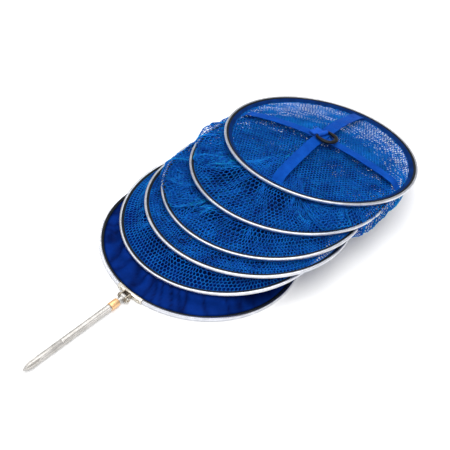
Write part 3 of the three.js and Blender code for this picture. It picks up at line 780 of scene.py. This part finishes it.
def cloth_skirt(lower, upper):
    """The cloth section behind the mouth, in one skin with its creases."""
    columns, levels = 300, 60
    surface, skirt_painted_shade = wall_surface(lower, upper, columns, levels, fold=128, lobes=[], crumple=5,
                                  seed=1.7, crease=9)
    bm = bmesh.new()
    verts = [[bm.verts.new(surface[i, j]) for j in range(levels)] for i in range(columns)]
    uv = bm.loops.layers.uv.new("UVMap")
    for i in range(columns):
        for j in range(levels - 1):
            corners = (i, j), (i + 1, j), (i + 1, j + 1), (i, j + 1)
            face = bm.faces.new([verts[u % columns][v] for u, v in corners])
            for loop, (u, v) in zip(face.loops, corners):
                loop[uv].uv = (u * TURN * SKIRT_RADIUS / columns, v * SKIRT_LENGTH / (levels - 1))
    bmesh.ops.recalc_face_normals(bm, faces=bm.faces)
    obj = piece(bm, "mouth_skirt", SKIRT_CLOTH, None, ["cloth_skirt"], smooth=180)
    # the folded attribute carries painted shade, under other layers and along the creases
    shade_attribute = obj.data.attributes.new("folded", "FLOAT", "POINT")
    shade_attribute.data.foreach_set("value", skirt_painted_shade.ravel().astype(np.float32))
    thickened(obj, SKIRT_THICKNESS)
    share_weights(obj)


cloth_skirt(hoops[0], hoops[1])
WALLS = [  # a lobe: its bearing, its spread to each side, how far it bulges, and how high
    {"fold": 112, "lobes": [], "crumple": 5},
    {"fold": 120, "lobes": [], "crumple": 4.5},
    {"fold": 124, "lobes": [(-144, 30, 14, 42)], "crumple": 4.5},
    {"fold": 122, "lobes": [(-174, 42, 24, 46), (-8, 36, 15, 56)], "crumple": 4},
]
for number, wall in enumerate(WALLS, 1):
    net_wall(number, hoops[number], hoops[number + 1], **wall)

# ---------------------------------------------------------------- closed end

end = hoops[-1]
RIM = HOOP["radius"] - HOOP["width"] - PROUD - CLEARANCE
hem_reach = RIM - HEM["width"] * math.cos(math.radians(HEM["slope"]))


def end_height(x, y):
    """Height of the net end over the last hoop's plane: held up by the straps, slack between."""
    radius = hem_reach + END_NET["lap"]
    reach = math.hypot(x, y) / radius
    dome = END_NET["dome"] * (1 - reach ** 2)
    bearing = math.atan2(y, x)
    off = min(
        abs(math.sin(bearing - math.radians(s))) for s in STRAP["bearings"]
    ) * math.hypot(x, y)
    slack = END_NET["slack"] * (1 - math.exp(-(off / END_NET["taut"]) ** 2)) * (1 - reach ** 4)
    wrinkles = END_NET["wrinkle"] * noise.noise(Vector((x / 26, y / 26, 4.2)))
    wrinkles *= 1 - reach ** 6
    return dome - END_NET["drop"] - slack + wrinkles


def end_net():
    """The net disc that closes the last hoop."""
    radius = hem_reach + END_NET["cut"]
    width, side = NET_CELL, NET_CELL / math.sqrt(3)
    used, points, faces = {}, [], []
    rows, cells = int(radius / (1.5 * side)) + 1, int(radius / width) + 1
    for row in range(-rows, rows + 1):
        for cell in range(-cells, cells + 1):
            x0, y0 = (cell + 0.5 * (row % 2)) * width, row * 1.5 * side
            if math.hypot(x0, y0) > radius - width / 2:
                continue
            face = []
            for k in range(6):
                angle = math.radians(60 * k + 30)
                x, y = x0 + side * math.cos(angle), y0 + side * math.sin(angle)
                key = (round(x * 20), round(y * 20))
                if key not in used:
                    used[key] = len(points)
                    points.append(end["place"] @ Vector((x, y, end_height(x, y))))
                face.append(used[key])
            faces.append(face)
    mesh = net_mesh("end_netting", faces, np.array(points), NET_CORD)
    obj = dressed(mesh, "end_netting", CORD, "end_frame", ["end_net"], 180)


end_net()


def end_hem():
    """The sewn cloth hem inside the last hoop's piping, its inner edge puckered."""
    columns, levels = 240, 7
    bm = bmesh.new()
    uv = bm.loops.layers.uv.new("UVMap")
    verts = []
    for i in range(columns):
        bearing = TURN * i / columns
        spot = spot_at(bearing, LUMPS["pucker"], 0)
        pucker = noise.noise(spot)
        row = []
        for j in range(levels):
            share = j / (levels - 1)
            run = share * (HEM["width"] + 1.6 * pucker)
            reach = RIM - run * math.cos(math.radians(HEM["slope"]))
            height = HEM["top"] - HEM["sink"] - run * math.sin(math.radians(HEM["slope"]))
            height += 0.9 * share * noise.noise(spot * 1.7 + Vector((0, 0, 3)))
            row.append(bm.verts.new((reach * math.cos(bearing), reach * math.sin(bearing), height)))
        verts.append(row)
    for i in range(columns):
        for j in range(levels - 1):
            corners = (i, j), (i, j + 1), (i + 1, j + 1), (i + 1, j)
            face = bm.faces.new([verts[u % columns][v] for u, v in corners])
            for loop, (u, v) in zip(face.loops, corners):
                loop[uv].uv = (u * TURN * RIM / columns, v * HEM["width"] / (levels - 1))
    bmesh.ops.recalc_face_normals(bm, faces=bm.faces)
    obj = piece(bm, "end_hem_band", HEM_CLOTH, "end_frame", ["end_hem"], end["place"],
                180)
    thickened(obj, HEM["thickness"])


end_hem()


def strap(name, node, width, bearing, aside, rise):
    """A flat woven strap that bows up from rim to rim, sewn down under the net at both ends."""
    half = math.sqrt(RIM ** 2 - (aside + width / 2) ** 2) - STRAP["short"]
    bm = bmesh.new()
    bmesh.ops.create_grid(bm, x_segments=96, y_segments=8, size=1)
    uv = bm.loops.layers.uv.new("UVMap")
    for face in bm.faces:
        for loop in face.loops:
            loop[uv].uv = (loop.vert.co.x * half, loop.vert.co.y * width / 2)
    level = HEM["top"] + CLEARANCE + STRAP["thickness"] / 2
    for vert in bm.verts:
        x, y = vert.co.x * half, vert.co.y * width / 2
        slack = STRAP["slack"] * noise.noise(Vector((x / 30, y / 20, bearing)))
        edge = STRAP["wander"] * noise.noise(Vector((x / 12, 0, bearing + 5)))
        edge *= 1 - abs(vert.co.x) ** 6
        tuck = STRAP["tuck"] * smooth_step(abs(vert.co.x), *STRAP["tucked"])
        bow = rise * (1 - vert.co.x ** 2) + slack * (1 - vert.co.x ** 4)
        vert.co = (x, y + edge, level + bow - tuck)
    turn = end["place"] @ Matrix.Rotation(math.radians(bearing), 4, "Z")
    turn @= Matrix.Translation((0, -aside, 0))
    obj = piece(bm, name, STRAP_WEBBING, "end_frame", [node], turn, 180)
    thickened(obj, STRAP["thickness"], STRAP["round"])


strap("lower_strap", "end_strap_lower", STRAP["widths"][0], STRAP["bearings"][0], STRAP["aside"],
      STRAP["rise"] - STRAP["under"])
strap("upper_strap", "end_strap_upper", STRAP["widths"][1], STRAP["bearings"][1], 0,
      STRAP["rise"] + STRAP["thickness"] + CLEARANCE + STRAP["lap"])

# ---------------------------------------------------------------- pull ring and its tab

lower_turn, upper_turn = (math.radians(bearing) for bearing in STRAP["bearings"])
along_upper = -STRAP["aside"] / math.sin(upper_turn - lower_turn)
crossing = (
    end["place"]
    @ Matrix.Translation((
        along_upper * math.cos(upper_turn), along_upper * math.sin(upper_turn),
        HEM["top"] + STRAP["rise"] + 2 * STRAP["thickness"] + 3 * CLEARANCE + STRAP["lap"],
    ))
    @ Matrix.Rotation(math.radians(RING["bearing"]), 4, "Z")
)
bar_room = RING["bar"] / 2 + CLEARANCE + TAB["play"]
tab_height = bar_room + TAB["webbing"]


def pull_tab():
    """Webbing folded round the ring's bar and sewn down on the straps' crossing."""
    sheet = TAB["webbing"]
    bend = bar_room + sheet / 2
    path = [(-TAB["length"] + TAB["length"] * i / 8, sheet / 2) for i in range(9)]
    path += [(bend * math.sin(a), tab_height - bend * math.cos(a))
             for a in np.radians(np.arange(15, 226, 15))]
    path += [(-2.0 * tab_height, sheet * 1.7), (-2.8 * tab_height, sheet * 1.6),
             (-TAB["length"], sheet * 1.6)]
    bm = bmesh.new()
    run = 0
    verts, runs = [], []
    for i, (x, z) in enumerate(path):
        if i:
            run += math.dist(path[i - 1], path[i])
        verts.append([bm.verts.new((x, TAB["width"] * (k / 6 - 0.5), z)) for k in range(7)])
        runs.append(run)
    uv = bm.loops.layers.uv.new("UVMap")
    for i in range(len(path) - 1):
        for k in range(6):
            corners = (i, k), (i + 1, k), (i + 1, k + 1), (i, k + 1)
            face = bm.faces.new([verts[u][v] for u, v in corners])
            for loop, (u, v) in zip(face.loops, corners):
                loop[uv].uv = (runs[u], TAB["width"] * v / 6)
    bmesh.ops.recalc_face_normals(bm, faces=bm.faces)
    obj = piece(bm, "pull_ring_tab", TAB_WEBBING, "end_frame", ["pull_tab"], crossing,
                180)
    thickened(obj, sheet, TAB["round"])


pull_tab()


def pull_ring():
    """A D-shaped ring: a round bar where the tab holds it, and a wider, flatter bow."""
    half = (RING["width"] - RING["section"]) / 2
    bow = RING["reach"] - RING["section"] / 2 - RING["width"] / 2
    slim = RING["bar"] / RING["section"]
    low = RING["height"] / RING["section"]
    corner, nip = RING["corner"], RING["nip"]
    path = [(0, half - corner), (0, corner - half), (nip, nip - half), (corner, -half)]
    path += [(bow + half * math.cos(a), half * math.sin(a))
             for a in np.radians(np.arange(-90, 91, 10))]
    path += [(corner, half), (nip, half - nip)]
    curve = bpy.data.curves.new("pull_ring_path", "CURVE")
    curve.dimensions = "3D"
    spline = curve.splines.new("NURBS")
    spline.points.add(len(path) - 1)
    for point, (x, y) in zip(spline.points, path):
        point.co = (x, y, 0, 1)
        point.radius = slim + (1 - slim) * smooth_step(x, 0, RING["widening"])
    spline.use_cyclic_u = True
    spline.order_u = 3
    spline.resolution_u = 4
    curve.bevel_depth = RING["section"] / 2
    curve.bevel_resolution = 5
    holder = bpy.data.objects.new("pull_ring_path", curve)
    bpy.context.scene.collection.objects.link(holder)
    mesh = bpy.data.meshes.new_from_object(
        holder.evaluated_get(bpy.context.evaluated_depsgraph_get())
    )
    bpy.data.objects.remove(holder)
    bm = bmesh.new()
    bm.from_mesh(mesh)
    bpy.data.meshes.remove(mesh)
    for vert in bm.verts:
        vert.co.z *= 1 - (1 - low) * smooth_step(vert.co.x, 0, RING["widening"])
    outwards(bm)
    place = crossing @ Matrix.Translation((0, 0, tab_height))
    piece(bm, "pull_d_ring", RING_PLASTIC, "ring_body", ["pull_ring"], place, 180)


pull_ring()

# ---------------------------------------------------------------- bracket and stake

for node, new_name, material, bevel in (
    ("bracket_saddle", "saddle_plate", STEEL, 0.3),
    ("saddle_rivet_left", "left_rivet", STEEL, 0.15),
    ("saddle_rivet_right", "right_rivet", STEEL, 0.15),
    ("bracket_clevis", "clevis_bracket", SHADED_STEEL, 0.3),
    ("pivot_bolt", "hex_bolt", SHADED_STEEL, 0.25),
    ("pivot_nut", "hex_nut", STEEL, 0.3),
):
    refined(node, new_name, material, "mouth_frame", bevel)

pivot_middle = sum(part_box("pivot_bolt"), Vector()) / 2 / MM
pivot = Vector((sum(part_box("stake_rod"), Vector()).x / 2 / MM, pivot_middle.y, pivot_middle.z))
slide = next(j for j in frame["joints"] if j["name"] == "stake_extend")
stake_axis = Vector(slide["axis"]).normalized()
stake_place = Matrix.Translation(pivot) @ Vector((0, 0, 1)).rotation_difference(
    stake_axis
).to_matrix().to_4x4()
pivot_place = Matrix.Translation(pivot) @ Matrix.Rotation(math.pi / 2, 4, "Y")


def body_of(node):
    return frame["nodes"][node]["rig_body"]


def lathe_piece(node, new_name, outline, material, place=stake_place):
    piece(turned(outline), new_name, material, body_of(node), [node], place, 30)


bore, rim, bevel = WASHER["bore"], WASHER["radius"], WASHER["bevel"]
for side in ("left", "right"):
    low, high = (corner.x / MM - pivot.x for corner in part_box("pivot_washer_" + side))
    lathe_piece("pivot_washer_" + side, side + "_washer", [
        (bore, low), (rim - bevel, low), (rim, low + bevel), (rim, high - bevel),
        (rim - bevel, high), (bore, high),
    ], STEEL, pivot_place)

rod_stop, rod_reach, neck = ROD["length"], ROD["radius"], ROD["radius"] - ROD["neck"]
shoulder, bevel = rod_stop - BUSH["length"], ROD["bevel"]
rod = turned([
    (0, ROD["start"]), (rod_reach, ROD["start"]), (rod_reach, shoulder), (neck, shoulder),
    (neck, rod_stop - bevel), (neck - bevel, rod_stop), (0, rod_stop),
])
piece(rod, "stake_rod_bar", STAKE, "stake_arm", ["stake_rod"], stake_place, 30)
bore, rim, bevel = EYE["bore"], EYE["radius"], EYE["bevel"]
eye = turned([
    (bore, -rod_reach), (rim - bevel, -rod_reach), (rim, bevel - rod_reach),
    (rim, rod_reach - bevel), (rim - bevel, rod_reach), (bore, rod_reach),
])
piece(eye, "stake_rod_eye", STAKE, "stake_arm", [], pivot_place, 30)

bush_start = shoulder + CLEARANCE
lathe_piece("rod_bush", "sliding_bush", [
    (neck + CLEARANCE, bush_start), (BUSH["radius"], bush_start), (BUSH["radius"], rod_stop),
    (neck + CLEARANCE, rod_stop),
], NYLON)

start, stop = COLLAR["start"], COLLAR["start"] + COLLAR["length"]
shaft, rim, lip = rod_reach + CLEARANCE, COLLAR["radius"], start + COLLAR["lip"]
lathe_piece("lock_collar", "brass_collar", [
    (shaft, start), (rim - 1, start), (rim - 0.3, start + 0.3), (rim, start + 1),
    (rim, stop - 1), (rim - 0.3, stop - 0.3), (rim - 1, stop), (COLLAR["bore"], stop),
    (COLLAR["bore"], lip), (shaft, lip),
], BRASS)
low, high, (near_rim, far_rim) = COLLET["start"], COLLET["end"], COLLET["radii"]
lathe_piece("lock_collet", "nylon_collet", [
    (COLLET["bore"], low), (near_rim, low), (far_rim, high), (COLLET["bore"], high),
], NYLON)


def notched(width, depth):
    """How far a ring's surface drops at an angle, for four lengthwise notches."""
    def drop(angle, radius):
        nearest = (angle - math.pi / 4) % (math.pi / 2)
        nearest = min(nearest, math.pi / 2 - nearest)
        inner, outer = NOTCH_SIDES
        return depth * (1 - smooth_step(nearest * radius, width * inner, width * outer))
    return drop


def notched_bar(name, node, notch, stations):
    """A bar of the sleeve through (height, share of the notches' depth, radius) stations."""
    def radius_at(angle, station):
        return station[2] - station[1] * notch(angle, station[2])
    bar = sections(stations, BAR_SEGMENTS, radius_at)
    piece(bar, name, STAKE, "stake_sleeve", [node], stake_place, 40)


groove = notched(GROOVE["width"], GROOVE["depth"])
tube_start, tube_end = stop + CLEARANCE, stop + TUBE["length"]
spigot, edge, full, bevel = TUBE["spigot"], TUBE["edge"], TUBE["radius"], TUBE["bevel"]
inset = GROOVE["inset"]
whole = inset + GROOVE["run"]
notched_bar("grooved_sleeve", "stake_tube", groove, [
    (stop - TUBE["overlap"], 0, spigot), (tube_start, 0, spigot), (tube_start, 0, edge),
    (tube_start + bevel, 0, full), (tube_start + inset, 0, full), (tube_start + whole, 1, full),
    (tube_end - whole, 1, full), (tube_end - inset, 0, full), (tube_end - bevel, 0, full),
    (tube_end, 0, edge),
])

flute = notched(FLUTE["width"], FLUTE["depth"])
shank_start = tube_end + CLEARANCE
sleeve_end = tube_end + POINT["shank"]
full_end = sleeve_end + POINT["length"] * POINT["full"]
tip_end = sleeve_end + POINT["length"]
notched_bar("fluted_point", "stake_point", flute, [
    (shank_start, 0, edge), (shank_start + bevel, 0, full), (sleeve_end - 3, 0, full),
    (sleeve_end - 1.5, 0.35, full), (sleeve_end + 0.5, 1, full), (full_end, 1, full),
    ((full_end + tip_end) / 2, 0.62, 4.5), (tip_end - 2, 0.2, 2.2), (tip_end, 0, 0.9),
])

# ---------------------------------------------------------------- floor and light

FLOOR_LIFT = 0.04  # what the white floor glows by, seen straight
FLOOR_DROP = 0.0003  # the floor's gap under the part, in metres

floor_finish = Finish("pale_floor", 0.9, specular=0.0)
floor_finish.feed(
    "Base Color",
    floor_finish.ramp(
        floor_finish.noise(300), PATCHY, (0.94, 0.94, 0.94, 1), (0.96, 0.96, 0.96, 1),
    ),
)
seen = floor_finish.nodes.new("ShaderNodeLightPath").outputs["Is Camera Ray"]
floor_finish.set("Emission Color", WHITE)
floor_finish.feed("Emission Strength", floor_finish.math("MULTIPLY", seen, FLOOR_LIFT))
floor_mesh = bmesh.new()
bmesh.ops.create_grid(floor_mesh, x_segments=1, y_segments=1, size=6)
floor_data = bpy.data.meshes.new("floor")
floor_mesh.to_mesh(floor_data)
floor_mesh.free()
floor = bpy.data.objects.new("floor", floor_data)
floor.location.z = -FLOOR_DROP
floor_data.materials.append(floor_finish.material)
bpy.context.scene.collection.objects.link(floor)

world = bpy.data.worlds.new("studio")
bpy.context.scene.world = world
world.use_nodes = True
sky = world.node_tree.nodes["Background"].inputs
sky["Color"].default_value = (0.98, 0.985, 1, 1)
sky["Strength"].default_value = 0.54


def soft_lamp(name, place, power, size=2.6):
    """A wide lamp that faces the middle of the floor."""
    data = bpy.data.lights.new(name, "AREA")
    data.size = size
    data.energy = power
    lamp = bpy.data.objects.new(name, data)
    lamp.location = place
    lamp.rotation_euler = (-Vector(place)).to_track_quat("-Z", "Y").to_euler()
    bpy.context.scene.collection.objects.link(lamp)


soft_lamp("key", (-0.8, 0.6, 2.9), 62)
soft_lamp("fill", (1.2, -0.9, 2.6), 54)

bpy.context.scene.view_settings.view_transform = "Standard"
